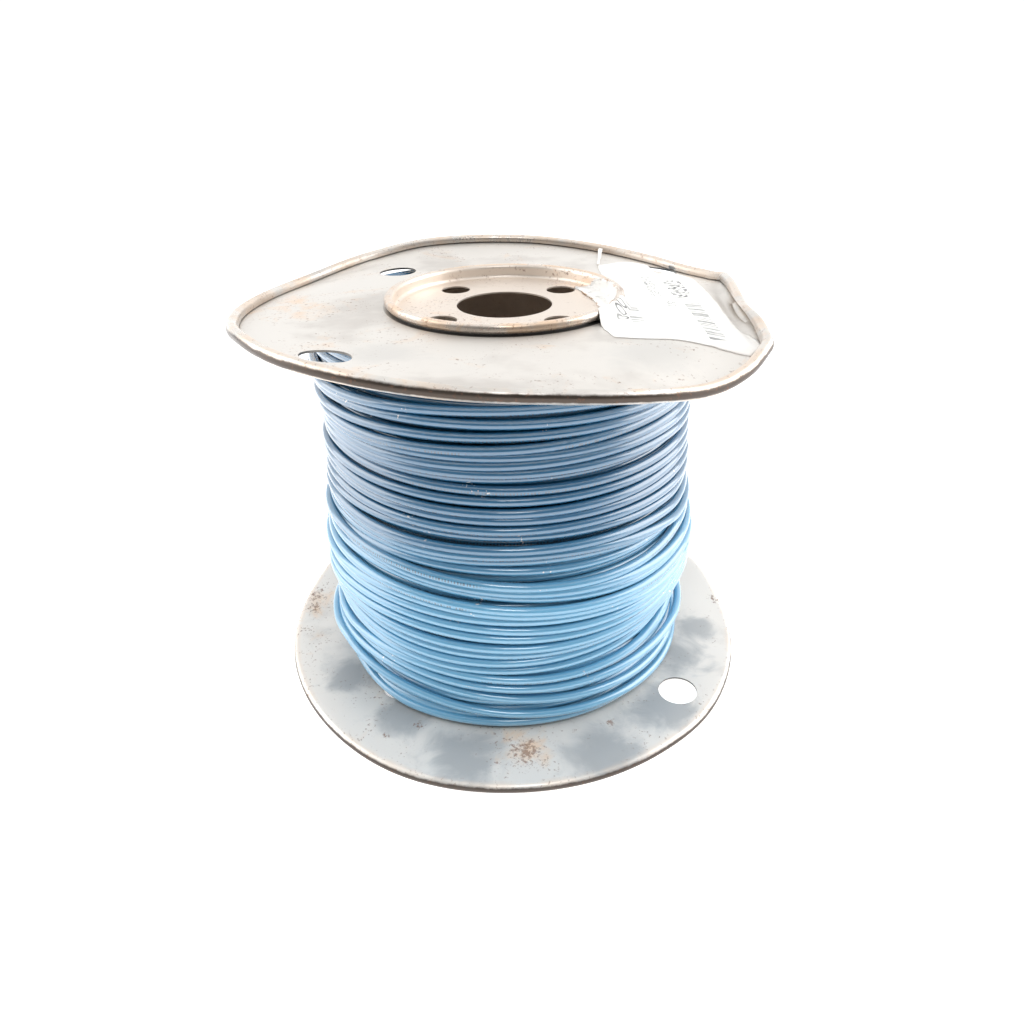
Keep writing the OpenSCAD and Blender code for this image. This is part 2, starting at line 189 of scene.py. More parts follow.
def cut_holes(obj, holes, low, high):
    """Cuts round holes, given as (x, y, radius), through a piece between two heights."""
    turn = np.linspace(0, 2 * np.pi, HOLE_SIDES, endpoint=False)
    for x, y, radius in holes:
        ring = np.stack([x + radius * np.cos(turn), y + radius * np.sin(turn)], axis=-1)
        wall = np.stack([np.c_[ring, np.full(len(ring), z)] for z in (high, low)])
        cutter = surface(obj.name + "_cutter", wall, wrap_columns=True, caps=True)
        step = obj.modifiers.new("hole", "BOOLEAN")
        step.operation = "DIFFERENCE"
        step.solver = "EXACT"
        step.object = cutter
        cut = obj.evaluated_get(bpy.context.evaluated_depsgraph_get())
        shaped = bpy.data.meshes.new_from_object(cut)
        obj.modifiers.clear()
        obj.data = shaped
        bpy.data.objects.remove(cutter)


def ease(x):
    """Rises smoothly from 0 to 1 as x goes from 0 to 1."""
    x = np.clip(x, 0, 1)
    return x * x * (3 - 2 * x)


def turned(bearing, at):
    """How far a bearing is from another, the shorter way round, from -180 to 180 degrees."""
    return (bearing - at + 180) % 360 - 180


def bump(bearing, at, width):
    """1 at a bearing, falling to 0 one width away on either side, in degrees."""
    return ease(1 - np.abs(turned(bearing, at)) / width)


def closed_curve(table, bearing, column):
    """Smooth closed curve through a table's rows: a cubic between each two rows, whose slope at a row
    is that of the line from the row before it to the row after it."""
    rows = np.array(table, float)
    at = np.r_[rows[-2, 0] - 360, rows[:, 0], rows[1, 0] + 360]
    value = np.r_[rows[-2, column], rows[:, column], rows[1, column]]
    slope = (value[2:] - value[:-2]) / (at[2:] - at[:-2])
    at, value = at[1:-1], value[1:-1]
    bearing = turned(bearing, 0)
    i = np.clip(np.searchsorted(at, bearing, side="right") - 1, 0, len(at) - 2)
    span = at[i + 1] - at[i]
    x = (bearing - at[i]) / span
    return (value[i] * (1 + 2 * x) * (1 - x) ** 2 + slope[i] * span * x * (1 - x) ** 2
            + value[i + 1] * x * x * (3 - 2 * x) - slope[i + 1] * span * x * x * (1 - x))


# ---- Flanges ----

# Rims of the flanges: (bearing in degrees, mm in towards the axis, mm out along it)
UPPER_RIM = [
    (-180, 1.8, -2.3), (-163, 2.5, 0.2), (-146, 1.2, 3.1), (-132, 0.4, 2.8), (-114, 0.1, 2.2), (-98, 0.3, 1),
    (-83, 0.3, -0.3), (-68, 0, -2.5), (-54, 0, -4.8), (-44, -0.2, -3.7), (-34, 0.6, -1.1), (-6, 1.8, -3.1),
    (20, 2.7, -2.9), (34, 2.5, -3.6), (46, 1.1, -2.8), (64, 0, -0.8), (86, 0, 1.3), (112, 0, 1.6),
    (128, 0, -0.7), (147, 0.6, -3.3), (160, 1.2, -3.4), (180, 1.8, -2.3),
]
LOWER_RIM = [
    (-180, 1, 0), (-155, 1.1, -0.4), (-140, 0.7, -0.6), (-114, -0.2, 0.1), (-90, 0, 0), (-57, -0.3, 0),
    (-42, -0.8, 0.1), (-28, -0.3, 0.1), (-6, 0.6, 0), (4, 1.1, -0.3), (20, 0.4, -2.2), (36, 0, 0),
    (60, 0, 0.1), (90, 0, -0.4), (130, 0, 0), (152, -0.3, -2.8), (168, 0.1, 0), (180, 1, 0),
]
# The knock: its bearing, how many degrees to either side its straight cut runs at most, and the stretch over
# which it joins the round rim
KNOCK_AT = -6
KNOCK_REACH = 55
KNOCK_JOINT = 1.2 * MM
# The crease inside the roll at the knock: (bearing, half width in degrees, mm in from the roll, wide and deep)
CREASE = (-9, 22, 0.8, 1.1, 2.4)
# Shallow ripples of the whole sheet: mm high, mm from the axis where they begin, and mm over which they grow
RIPPLE, RIPPLE_FROM, RIPPLE_OVER = 0.2, 40, 20
# Tie holes: (mm from the axis, bearing)
TIE_HOLES = [(54.5, 133), (67.5, 230), (71, 39)]
# The roll: degrees where it begins and that it turns through, and how far it has come open at the knock:
# (bearing, half width, degrees less)
ROLL_FROM = -90
ROLL_TURN = 295
ROLL_OPEN = (-10, 32, 60)
# Air between the barrel and the collar, the collar's thickness as a share of the sheet's, the stretch inside
# the roll over which its mark fades, and the degrees from which an edge is sharp
HUB_GAP = 0.05 * MM
COLLAR_SHARE = 0.7
RIM_FADE = 1.3 * MM
SHARP_ANGLE = 50
BEARING_STEPS = 480
SHEET_RINGS = 34
ROLL_STEPS = 14


def rim_radius(table, knock, bearing):
    """Radius of the rim: the dented circle, cut straight across where it was knocked."""
    flange = sizes("spool_flange")
    full = flange.diameter / 2
    round_r = full - closed_curve(table, bearing, 1) * MM
    if not knock:
        return round_r
    away = np.abs(turned(bearing, KNOCK_AT))
    flat_r = (full - flange.knock_depth) / np.cos(np.radians(np.minimum(away, KNOCK_REACH)))
    near = np.clip(0.5 + 0.5 * (round_r - flat_r) / KNOCK_JOINT, 0, 1)
    return round_r + (flat_r - round_r) * near - KNOCK_JOINT * near * (1 - near) / 2


def sheet_height(table, knock, radius, bearing):
    """How far the sheet stands out along the axis: the rim's bend, the knock's fold, which is highest at its
    middle, the crease, which is bell-shaped across, and ripples, which are the sum of two products of waves."""
    flange = sizes("spool_flange")
    end = rim_radius(table, knock, bearing) - flange.roll
    bend = closed_curve(table, bearing, 2) * MM
    height = bend * ease((radius - flange.bend_from) / (end - flange.bend_from))
    if knock:
        band = flange.knock_band
        half = np.degrees(np.arccos(1 - flange.knock_depth / (flange.diameter / 2)))
        along = np.maximum(1 - (np.abs(turned(bearing, KNOCK_AT)) / half) ** 2, 0)
        height = height + flange.knock_lift * along * ease((radius - end + band) / band)
        at, half_width, inside, width, depth = CREASE
        crease = np.exp(-((radius - end + inside * MM) / (width * MM)) ** 2)
        height = height - depth * MM * bump(bearing, at, half_width) * crease
    turn = np.radians(bearing)
    ripple = (np.sin(3 * turn + 210 * radius) * np.sin(55 * radius + 1.1)
              + 0.6 * np.sin(7 * turn - 130 * radius + 2) * np.cos(90 * radius))
    return height + RIPPLE * MM * ripple * ease((radius - RIPPLE_FROM * MM) / (RIPPLE_OVER * MM))


def flange_surface(table, knock):
    """Section of a sheet with a collar and a rolled edge, carried round the axis: down the collar, outwards
    over the outer face, round inside the roll, back round its outside and in along the inner face. Along the
    knock the roll has come open. Gives the points and how far each is on the roll."""
    flange = sizes("spool_flange")
    hub = sizes("spool_hub")
    bearing = np.linspace(0, 360, BEARING_STEPS, endpoint=False)[:, None]
    end = rim_radius(table, knock, bearing) - flange.roll
    hole = hub.barrel / 2 + HUB_GAP
    collar = hole + COLLAR_SHARE * flange.sheet
    radius = collar + (end - collar) * np.linspace(0, 1, SHEET_RINGS)[None, :]
    height = sheet_height(table, knock, radius, bearing)
    open_at, open_width, less = ROLL_OPEN
    turn = ROLL_TURN - (less * bump(bearing, open_at, open_width) if knock else 0)
    angle = np.radians(ROLL_FROM + turn * np.linspace(0, 1, ROLL_STEPS + 1)[None, :])
    inner = flange.roll - flange.sheet
    centre_z = inner + height[:, -1:]
    (inner_r, inner_z), (outer_r, outer_z) = [(end + r * np.cos(angle), centre_z + r * np.sin(angle))
                                              for r in (inner, flange.roll)]
    level = 0 * bearing
    r = np.concatenate([level + hole, level + collar, radius[:, :-1], inner_r, outer_r[:, ::-1],
                        radius[:, -2::-1], level + hole], axis=1)
    z = np.concatenate([level + flange.collar, level + flange.collar, height[:, :-1], inner_z, outer_z[:, ::-1],
                        height[:, -2::-1] - flange.sheet, level - flange.sheet], axis=1)
    near = ease((radius[:, :-1] - end + RIM_FADE) / RIM_FADE)
    on_roll = np.ones_like(inner_r)
    rim = np.concatenate([level, level, near, on_roll, on_roll, near[:, ::-1], level], axis=1)
    turn = np.radians(bearing)
    return np.stack([r * np.cos(turn), r * np.sin(turn), z], axis=-1), rim


def build_flange(name, node, table, knock, face_z, side, material):
    """One flange. side is 1 where the outer face looks up and -1 where the pressing is turned over."""
    points, rim = flange_surface(table, knock)
    points[..., 2] = face_z + side * points[..., 2]
    obj = surface(name, points, wrap_rows=True, wrap_columns=True, marks={"rim": rim})
    holes = [(r * MM * math.cos(math.radians(side * a)), r * MM * math.sin(math.radians(side * a)),
              sizes("spool_flange").tie_hole / 2) for r, a in TIE_HOLES]
    reach = 6 * MM
    cut_holes(obj, holes, face_z - reach, face_z + reach)
    obj.data.set_sharp_from_angle(angle=math.radians(SHARP_ANGLE))
    finish_piece(obj, material, [node])


class SPOOL_OT_upper_flange(bpy.types.Operator):
    """Add the upper flange, bent round its rim and knocked flat on one side"""
    bl_idname = "spool.upper_flange"
    bl_label = "Upper Flange"

    def execute(self, context):
        steel = tinplate("upper")
        build_flange("upper_flange_sheet", "upper_flange", UPPER_RIM, True, face_height(1), 1, steel)
        return {"FINISHED"}


class SPOOL_OT_lower_flange(bpy.types.Operator):
    """Add the lower flange, the same pressing turned over, with two small kinks in its rim"""
    bl_idname = "spool.lower_flange"
    bl_label = "Lower Flange"

    def execute(self, context):
        steel = tinplate("lower")
        build_flange("lower_flange_sheet", "lower_flange", LOWER_RIM, False, face_height(-1), -1, steel)
        return {"FINISHED"}


def face_height(side):
    """Height of a flange's outer face, from the hub plate that is seamed over it."""
    hub = sizes("spool_hub")
    low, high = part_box("upper_hub_plate" if side > 0 else "lower_hub_plate")
    depth = hub.dish + hub.sheet
    return low.z + depth if side > 0 else high.z - depth


# ---- Hub ----

def dress(node, material):
    """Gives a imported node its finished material."""
    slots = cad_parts[node].data.materials
    slots.clear()
    slots.append(material)


class SPOOL_OT_hub(bpy.types.Operator):
    """Give the barrel and both dished hub plates their worn steel"""
    bl_idname = "spool.hub"
    bl_label = "Hub"

    def execute(self, context):
        dress("upper_hub_plate", tinplate("hub"))
        dress("lower_hub_plate", tinplate("hub"))
        dress("barrel", tinplate("barrel"))
        return {"FINISHED"}


# ---- Winding ----

END_BEARING = 96
FRONT_BEARING = 270
LOOP_STEPS = 144
OUTER_SIDES = 12
UNDER_SIDES = 8


def wound_radius(z):
    """Radius over the winding at a height: a parabola through its three diameters."""
    wire = sizes("spool_wire")
    low, high = wire_space()
    u = (z - low) / (high - low)
    return (wire.over_bottom * (1 - u) * (1 - 2 * u) + 4 * wire.over_middle * u * (1 - u)
            + wire.over_top * u * (2 * u - 1)) / 2


def wire_space():
    """Heights of the two flanges' inner faces."""
    sheet = sizes("spool_flange").sheet
    return face_height(-1) + sheet, face_height(1) - sheet


# The turns from the top down: mm up where each faces 225, 255, 285 and 315 degrees, and how far in it lies
TURNS = [
    (120, 120, 120, 120, 0), (117.4, 117.4, 117.4, 117.4, 0), (114.8, 115, 115, 114.8, 0),
    (111, 112.5, 112.5, 111.5, 0.4), (107.5, 108.6, 108.8, 106.8, 0), (105.3, 105.6, 105.4, 104.5, 0),
    (101, 101.8, 102.4, 102.4, 0), (98.2, 98.8, 99.7, 100.3, 0), (96.5, 97, 97.2, 97.4, 0.2),
    (94.8, 94.8, 95.4, 95.7, 0), (93, 92.7, 92.8, 92.8, 0), (91, 90.8, 90.6, 91, 1.3),
    (89.2, 88.2, 87.7, 87.7, 0), (85.6, 84.8, 84.5, 84.6, 0), (82.7, 81.6, 81.4, 81.7, 0.4),
    (80.4, 79.5, 79.1, 79.1, 0), (77, 76.2, 75.9, 75.4, 0), (73.8, 73.8, 73.3, 71.8, 1),
    (71, 70.4, 70.1, 68.6, 0), (68.3, 68, 67.6, 65.4, 0), (65.6, 65.8, 65.4, 63.8, 1.7),
    (63.6, 63.2, 62, 61.6, 1.5), (62.4, 60.2, 58, 57.6, 0), (60.6, 58.4, 56, 54.4, 0.2),
    (57.5, 56.2, 53.6, 52.2, 0.9), (54.4, 53, 50.8, 49.9, 0), (51.8, 51.2, 49, 48, 0.3),
    (49.2, 48.5, 47, 46, 0), (45.8, 45.2, 43.6, 44.4, 0.2), (42.5, 41.8, 40.6, 42, 0),
    (39.4, 37.7, 37.4, 39.6, 0), (36.4, 34.6, 35.2, 37.6, 0.6), (33, 31.2, 32.2, 35.2, 0),
    (29, 28, 28, 31, 1), (26.4, 25.6, 23.8, 26, 0), (23.6, 21.8, 19.9, 19.6, 0),
    (20.4, 18, 14.6, 12, 0.3), (16.8, 11.4, 8.8, 7.2, 0), (8.3, 5.8, 5.4, 5.4, 0.3),
]
# Loops that have come loose: (turn, bearing, half width in degrees, mm up, mm out)
LOOSE = [
    (37, 198, 50, -2.5, 4.3), (36, 203, 34, -1, 1.2), (35, 342, 34, -1, 1.5),
    (34, 338, 26, 2.2, -1.4), (33, 338, 24, 1.5, -1.2), (22, 200, 30, 0.5, 0.8), (38, 224, 45, -1.2, 1.4),
    (0, 130, 45, 2.2, 0), (1, 130, 45, 2, 0.5),
]
# How much fuller the winding is than its parabola: (height in mm, mm out)
FULLER = [(0, 0), (31, 0.1), (39, 1), (50, 1.2), (59, -0.2), (69, -0.7), (78, 0), (120, 0)]
# Where it is fuller still at the top: (mm out, bearing, half width in degrees), and the heights in mm at which
# that begins and is full
FULLER_AT_TOP = [(5.5, 165, 95), (5, 125, 45)]
TOP_FROM, TOP_FULL = 92, 108
# Degrees to either side of the front at which the turns' heights stand in the table, and past which a turn no
# longer follows its cubic
TURN_PLACES = (-45, -15, 15, 45)
CUBIC_REACH = 60
STRAY_WAVES = 8
# How far a turn can ride up on the one under it, and steps over which the wire's stiffness evens it out
RIDE_UP = 0.8 * MM
STIFF_STEPS = 12
# The layer under the outer one: its bearing at the top, its pitch and depth in wire diameters, the air between
# it and the flanges, and its bulge at the bottom: (mm out, bearing, half width, mm up where it begins, mm until
# it is full)
UNDER_BEARING = 20
UNDER_PITCH = 1.04
UNDER_DEPTH = 0.9
UNDER_GAP = 0.2 * MM
UNDER_BULGE = (2, 225, 60, 15, 6)


def lay_heights(seed):
    """Height of the wire at every step of every turn, from the top down, and how far in it lies there. In
    front a turn follows a cubic through its four heights. Behind, it runs to the next turn with a slow random
    stray, a sum of waves each weaker and faster than the one before."""
    table = np.array(TURNS, float)
    count = len(table)
    turn = np.arange(count * LOOP_STEPS + 1) / LOOP_STEPS
    bearing = END_BEARING - 360 * turn
    since_front = turn - ((END_BEARING - FRONT_BEARING) % 360) / 360
    here = np.clip(np.round(since_front).astype(int), 0, count - 1)
    away = turned(bearing, FRONT_BEARING)
    x = np.clip(away, -CUBIC_REACH, CUBIC_REACH)
    front = np.zeros(len(turn))
    for i, at in enumerate(TURN_PLACES):
        others = np.delete(TURN_PLACES, i)
        front += table[here, i] * np.prod([(x - other) / (at - other) for other in others], axis=0)
    middles = np.pad(table[:, :4].mean(axis=1), 2, "edge")
    mean = np.convolve(middles, np.array([1, 2, 3, 2, 1]) / 9, "valid")
    behind = np.interp(since_front, np.arange(count), mean)
    rng = np.random.default_rng(seed)
    stray = np.zeros(len(turn))
    for wave in range(1, STRAY_WAVES + 1):
        stray += rng.normal() / wave * np.sin(2 * np.pi * (wave * 0.31 * turn + rng.random()))
    # Wholly the cubic up to 75 degrees from the front, and wholly the run behind from 150 degrees
    share = ease((150 - np.abs(away)) / 75)
    z = share * front + (1 - share) * behind + (0.55 - 0.45 * share) * stray
    # As far in as its row says up to 55 degrees from the front, and by a wave of its own behind
    inward = table[here, 4] * ease((100 - np.abs(away)) / 45) + 0.5 * (1 - share) * (1 + np.sin(9.1 * turn))
    for loop, middle, width, up, out in LOOSE:
        near = bump(bearing, middle, width) * (here == loop)
        z = z + up * near
        inward = inward - out * near
    return bearing, z * MM, inward * MM


def fullness(bearing, z):
    """How far the winding stands out from its parabola: by height, and more at the top on the left."""
    table = np.array(FULLER) * MM
    out = sum(out * MM * bump(bearing, at, width) for out, at, width in FULLER_AT_TOP)
    top_left = out * ease((z - TOP_FROM * MM) / ((TOP_FULL - TOP_FROM) * MM))
    return np.interp(z, table[:, 0], table[:, 1]) + top_left


def settle(z, base, diameter, give):
    """Radius of every step of a path that lies on a base. From the bottom turn up, each rests on the one under
    it where they are nearer than a diameter, standing out by give at most. The wire's stiffness then evens it
    out: a running mean with bell-shaped weights."""
    height = z[:-1].reshape(-1, LOOP_STEPS)
    radius = base[:-1].reshape(-1, LOOP_STEPS).copy()
    for k in range(len(height) - 2, -1, -1):
        gap = np.abs(height[k] - height[k + 1])
        rest = radius[k + 1] + np.sqrt(np.maximum(diameter ** 2 - gap ** 2, 0))
        radius[k] += np.clip(rest - radius[k], 0, give) * (gap < diameter)
    line = np.r_[radius.ravel(), base[-1]]
    weights = np.exp(-np.linspace(-2.5, 2.5, 2 * STIFF_STEPS + 1) ** 2 / 2)
    return np.convolve(np.pad(line, STIFF_STEPS, "edge"), weights / weights.sum(), "valid")


def tube(name, bearing, radius, z, diameter, sides):
    """A round section carried along a path round the axis, in planes through the axis. Its uv is the distance
    along the wire in metres and the share of the way round it, from its inward side."""
    angle = np.radians(bearing)
    line = np.stack([radius * np.cos(angle), radius * np.sin(angle), z], axis=-1)
    along = np.r_[0, np.cumsum(np.linalg.norm(np.diff(line, axis=0), axis=1))]
    around = np.linspace(0, 1, sides, endpoint=False)
    q = np.pi + 2 * np.pi * around[None, :]
    r = radius[:, None] + diameter / 2 * np.cos(q)
    height = z[:, None] + diameter / 2 * np.sin(q)
    points = np.stack([r * np.cos(angle)[:, None], r * np.sin(angle)[:, None], height], axis=-1)
    uv = np.stack(np.broadcast_arrays(along[:, None], around[None, :] + 0 * r), axis=-1)
    return surface(name, points, wrap_columns=True, caps=True, uv=uv)


class SPOOL_OT_winding(bpy.types.Operator):
    """Add the winding: the outer layer of turns and the layer that shows between them"""
    bl_idname = "spool.winding"
    bl_label = "Winding"

    def execute(self, context):
        d = sizes("spool_wire").diameter
        low, high = wire_space()
        bottom, top = (corner.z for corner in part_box("wire_outer_layer"))
        bearing, z, inward = lay_heights(seed=4)
        z = np.clip(z, bottom + d / 2, top - d / 2)
        base = wound_radius(z) + fullness(bearing, z) - d / 2 - inward
        outer = tube("wire_outer_turns", bearing, settle(z, base, d, RIDE_UP), z, d, OUTER_SIDES)
        finish_piece(outer, jacket("outer"), ["wire_outer_layer"])

        pitch = UNDER_PITCH * d
        turns = int((high - low - 2 * UNDER_GAP) / pitch) - 1
        turn = np.arange(turns * LOOP_STEPS + 1) / LOOP_STEPS
        bearing = UNDER_BEARING + 360 * turn
        z = high - UNDER_GAP - d / 2 - pitch * turn
        out, at, width, begins, full = UNDER_BULGE
        bulge = out * MM * bump(bearing, at, width) * ease((begins * MM - z) / (full * MM))
        radius = wound_radius(z) + fullness(bearing, z) - d / 2 - UNDER_DEPTH * d + bulge
        under = tube("wire_under_turns", bearing, radius, z, d, UNDER_SIDES)
        finish_piece(under, jacket("under"), ["wire_core"])
        dress("conductor_end", copper())
        return {"FINISHED"}


# ---- Label ----

TEAR_RUN = 7


def torn_line(points, count, seed, ragged):
    """Points evenly spaced along the straight lines through a few points, roughened like torn paper by up to
    about ragged: a running mean of random steps, with both ends kept."""
    points = np.array(points, float)
    along = np.r_[0, np.cumsum(np.linalg.norm(np.diff(points, axis=0), axis=1))]
    at = np.linspace(0, along[-1], count)
    line = np.stack([np.interp(at, along, points[:, i]) for i in (0, 1)], axis=-1)
    noise = np.random.default_rng(seed).normal(size=(count + TEAR_RUN - 1, 2))
    noise = sum(noise[k:k + count] for k in range(TEAR_RUN)) / math.sqrt(TEAR_RUN)
    noise[[0, -1]] = 0
    return line + ragged * noise


def patch(bottom, top, left, right):
    """A grid between four edge lines: the blend of the two pairs of edges, less the blend of the corners."""
    s = np.linspace(0, 1, len(left))[:, None, None]
    t = np.linspace(0, 1, len(bottom))[None, :, None]
    sides = (1 - t) * left[:, None] + t * right[:, None]
    ends = (1 - s) * bottom[None, :] + s * top[None, :]
    corners = (1 - s) * ((1 - t) * bottom[0] + t * bottom[-1]) + s * ((1 - t) * top[0] + t * top[-1])
    return sides + ends - corners


# Edges of the label, seen from above, in mm
LABEL_HUB_EDGE = [
    (25.7, -23.6), (29.8, -18), (33.4, -11.2), (35.7, -5), (36.2, 0), (36.2, 7.5), (35, 15), (33.7, 21.5),
    (32.8, 28),
]
LABEL_FRONT_EDGE = [
    (25.7, -23.6), (26.4, -31), (28.5, -38.2), (34.7, -39.6), (43.9, -41.8), (52.9, -44.5), (61.2, -48.8),
]
LABEL_OUTER_EDGE = [
    (61.2, -48.8), (65.1, -44.6), (64.2, -36.7), (62.7, -31.5), (63.5, -18.9), (64.2, 1.1), (63.5, 14.8),
    (63, 28), (60.5, 38), (57.1, 35.5), (54.6, 31.5), (51.2, 29.3), (51.5, 40.7), (51.9, 52), (47.4, 53.5),
    (37.1, 45), (32.9, 43.4),
]
LABEL_BACK_EDGE = [(32.8, 28), (32.6, 36), (32.9, 43.4)]
# Rows and columns of the label, of the torn-off piece and of the strip
LABEL_GRID = (190, 110)
TORN_GRID = (90, 60)
STRIP_GRID = (60, 6)
# How far the label's corner curls up, and the share of a sheet, in from its edges, on which torn paper is brown
CURL = 0.15 * MM
GLUE_SHARE = 0.06
# Beside the hub's bead the paper lies higher by BESIDE, up to a radius, fading over a stretch
BESIDE, BESIDE_TO, BESIDE_FADE = 0.9 * MM, 38.4 * MM, 2.2 * MM
# It is draped over the bead at bearings below the first, and wholly so the second further on
DRAPE_BELOW, DRAPE_FADE = -8, 7
DRAPE_GAP = 0.1 * MM


def paper_height(points):
    """Height of paper that lies on the upper flange. It rides up beside the hub's bead, and in front of the
    torn-off piece it is draped from the flange straight up to the bead's shoulder and over it."""
    hub = sizes("spool_hub")
    radius = np.linalg.norm(points, axis=-1)
    bearing = np.degrees(np.arctan2(points[..., 1], points[..., 0]))
    tube_r = hub.curl + 2 * hub.sheet
    bead_r = hub.barrel / 2 + hub.curl
    bead_z = sizes("spool_flange").collar + hub.curl + hub.sheet
    shoulder = tube_r / math.sqrt(2)
    over = np.maximum(bead_r + shoulder - radius, 0)
    bead = bead_z + np.sqrt(np.maximum(tube_r ** 2 - (shoulder - over) ** 2, 0))
    slope = np.maximum(bead_z + bead_r + 2 * shoulder - radius, 0)
    draped = np.where(radius < bead_r + shoulder, bead, slope) + DRAPE_GAP * (slope > 0)
    beside = BESIDE * ease((BESIDE_TO - radius) / BESIDE_FADE)
    share = ease((DRAPE_BELOW - bearing) / DRAPE_FADE)
    return sheet_height(UPPER_RIM, True, radius, bearing) + beside + (draped - beside) * share


def finish_paper(name, node, points, plan, glue):
    """A sheet of paper from a grid of points, with a wall, and a mark along its torn edges for their glue."""
    rows, columns = plan.shape[:2]
    i, j = np.indices((rows, columns))
    from_edge = np.minimum(np.minimum(i, rows - 1 - i) / rows, np.minimum(j, columns - 1 - j) / columns)
    obj = surface(name, points, uv=plan, marks={"torn": glue * ease(1 - from_edge / GLUE_SHARE)})
    wall = obj.modifiers.new("paper", "SOLIDIFY")
    wall.thickness = sizes("spool_paper").thickness
    wall.offset = 1
    finish_piece(obj, label_paper(), [node])


def dish_profile(distance):
    """Radius and height over the flange's face, at a distance along the hub plate from the end of the dish
    floor: along the floor, round the corner, up the wall and round over the bead."""
    hub = sizes("spool_hub")
    collar = sizes("spool_flange").collar
    wall_r = hub.barrel / 2 - 2 * hub.sheet
    corner = hub.dish_corner
    tube_r = hub.curl + 2 * hub.sheet
    rise = collar + hub.curl + hub.sheet - (corner - hub.dish)
    corner_end = corner * np.pi / 2
    wall_end = corner_end + rise
    turn = np.clip(distance / corner, 0, np.pi / 2)
    over = np.maximum(distance - wall_end, 0) / tube_r
    r = wall_r - corner + np.minimum(distance, 0) + corner * np.sin(turn) + tube_r * (1 - np.cos(over))
    wall = np.clip(distance - corner_end, 0, rise)
    z = -hub.dish + corner * (1 - np.cos(turn)) + wall + tube_r * np.sin(over)
    return r, z


# The torn-off piece: (bearing, mm along the hub plate at its inner edge, mm at its outer edge), and the height
# of its wrinkles
TORN_PIECE = [
    (-30, 3.2, 3.6), (-22, 1.0, 4.3), (-10, -3.9, 4.6), (3, -4.8, 4.8), (13, -5.4, 5.0), (20, -5.6, 4.7),
    (28, -4.6, 3.8), (34, -4.0, 0.5), (38, -3.6, -2.8),
]
WRINKLE = 0.12 * MM
# The two edges of the narrow strip that runs out to the rim, seen from above, in mm
STRIP_LEFT = [(33.6, 43.4), (36.2, 60), (38, 71)]
STRIP_RIGHT = [(32.7, 43.4), (35, 60), (36.4, 71.5)]


class SPOOL_OT_label(bpy.types.Operator):
    """Add the torn label, its torn-off piece and its strip"""
    bl_idname = "spool.label"
    bl_label = "Label"

    def execute(self, context):
        gap = sizes("spool_paper").float_gap
        rows, columns = LABEL_GRID
        front = torn_line(LABEL_FRONT_EDGE, columns, 1, 0.08)
        back = torn_line(LABEL_BACK_EDGE, columns, 2, 0.08)
        hub = torn_line(LABEL_HUB_EDGE, rows, 3, 0.16)
        outer = torn_line(LABEL_OUTER_EDGE, rows, 4, 0.08)
        plan = (patch(front, back, hub, outer) * MM)[:, ::-1]
        # One corner curls up, over a tenth of the rows and a quarter of the columns
        along = ease(np.linspace(1, 1 - 10, rows))[:, None]
        across = ease(np.linspace(1 - 4, 1, columns))[None, :]
        z = face_height(1) + paper_height(plan) + gap + CURL * along * across
        points = np.concatenate([plan, z[..., None]], axis=-1)
        finish_paper("label_sheet", "label", points, plan, 0.1)

        rows, columns = TORN_GRID
        rng = np.random.default_rng(8)
        table = np.array(TORN_PIECE)
        bearing = np.linspace(table[0, 0], table[-1, 0], rows)[:, None] + 0.25 * rng.normal(size=(1, columns))
        inner, outer = (np.interp(bearing[:, 0], table[:, 0], table[:, k]) + 0.18 * rng.normal(size=rows)
                        for k in (1, 2))
        share = np.linspace(0, 1, columns)[None, :]
        distance = (inner[:, None] + (outer - inner)[:, None] * share) * MM
        r, z = dish_profile(distance)
        waves = np.sin(0.35 * bearing + 900 * distance) * np.cos(0.21 * bearing - 500 * distance)
        wrinkle = WRINKLE * (1 + waves)
        r = r - wrinkle * ease(distance / (2 * MM)) * (distance < 4 * MM)
        turn = np.radians(bearing)
        z = face_height(1) + z + gap + wrinkle
        points = np.stack([r * np.cos(turn), r * np.sin(turn), z], axis=-1)
        finish_paper("label_torn_sheet", "label_torn_piece", points[::-1], points[::-1, :, :2], 1.0)

        rows, columns = STRIP_GRID
        left = torn_line(STRIP_LEFT, rows, 5, 0.06)
        right = torn_line(STRIP_RIGHT, rows, 6, 0.06)
        strip = (left[:, None] + (right - left)[:, None] * np.linspace(0, 1, columns)[None, :, None]) * MM
        # It rides up over the rolled edge
        over_roll = 1.2 * MM * ease((np.linalg.norm(strip, axis=-1) - 70 * MM) / (10 * MM))
        z = face_height(1) + paper_height(strip) + gap + 0.3 * MM + over_roll
        points = np.concatenate([strip, z[..., None]], axis=-1)
        finish_paper("label_strip_sheet", "label_strip", points, strip, 0.2)
        return {"FINISHED"}


# ---- Finishes ----

# Noise lies mostly between 0.3 and 0.7, so each pattern's thresholds do too, or higher where little of it is to
# show. SOFT makes a Map Range ease in and out.
SOFT = {"interpolation_type": "SMOOTHSTEP"}


def add_node(tree, kind, *inputs, output=0, **settings):
    """Adds a shader node with its settings, and gives one of its outputs. inputs are values or other nodes'
    outputs, in order or as one table by name or number. Map Range takes a value, the two ends of its range and
    what they become."""
    node = tree.nodes.new("ShaderNode" + kind)
    for name, value in settings.items():
        setattr(node, name, value)
    links = inputs[0] if inputs and isinstance(inputs[0], dict) else dict(enumerate(inputs))
    for key, value in links.items():
        if isinstance(value, bpy.types.NodeSocket):
            tree.links.new(value, node.inputs[key])
        else:
            node.inputs[key].default_value = value
    return node.outputs[output] if node.outputs else None


def new_material(name):
    """An empty material, and the function that adds a node to it."""
    material = bpy.data.materials.new(name)
    material.use_nodes = True
    material.node_tree.nodes.clear()
    return material, partial(add_node, material.node_tree)


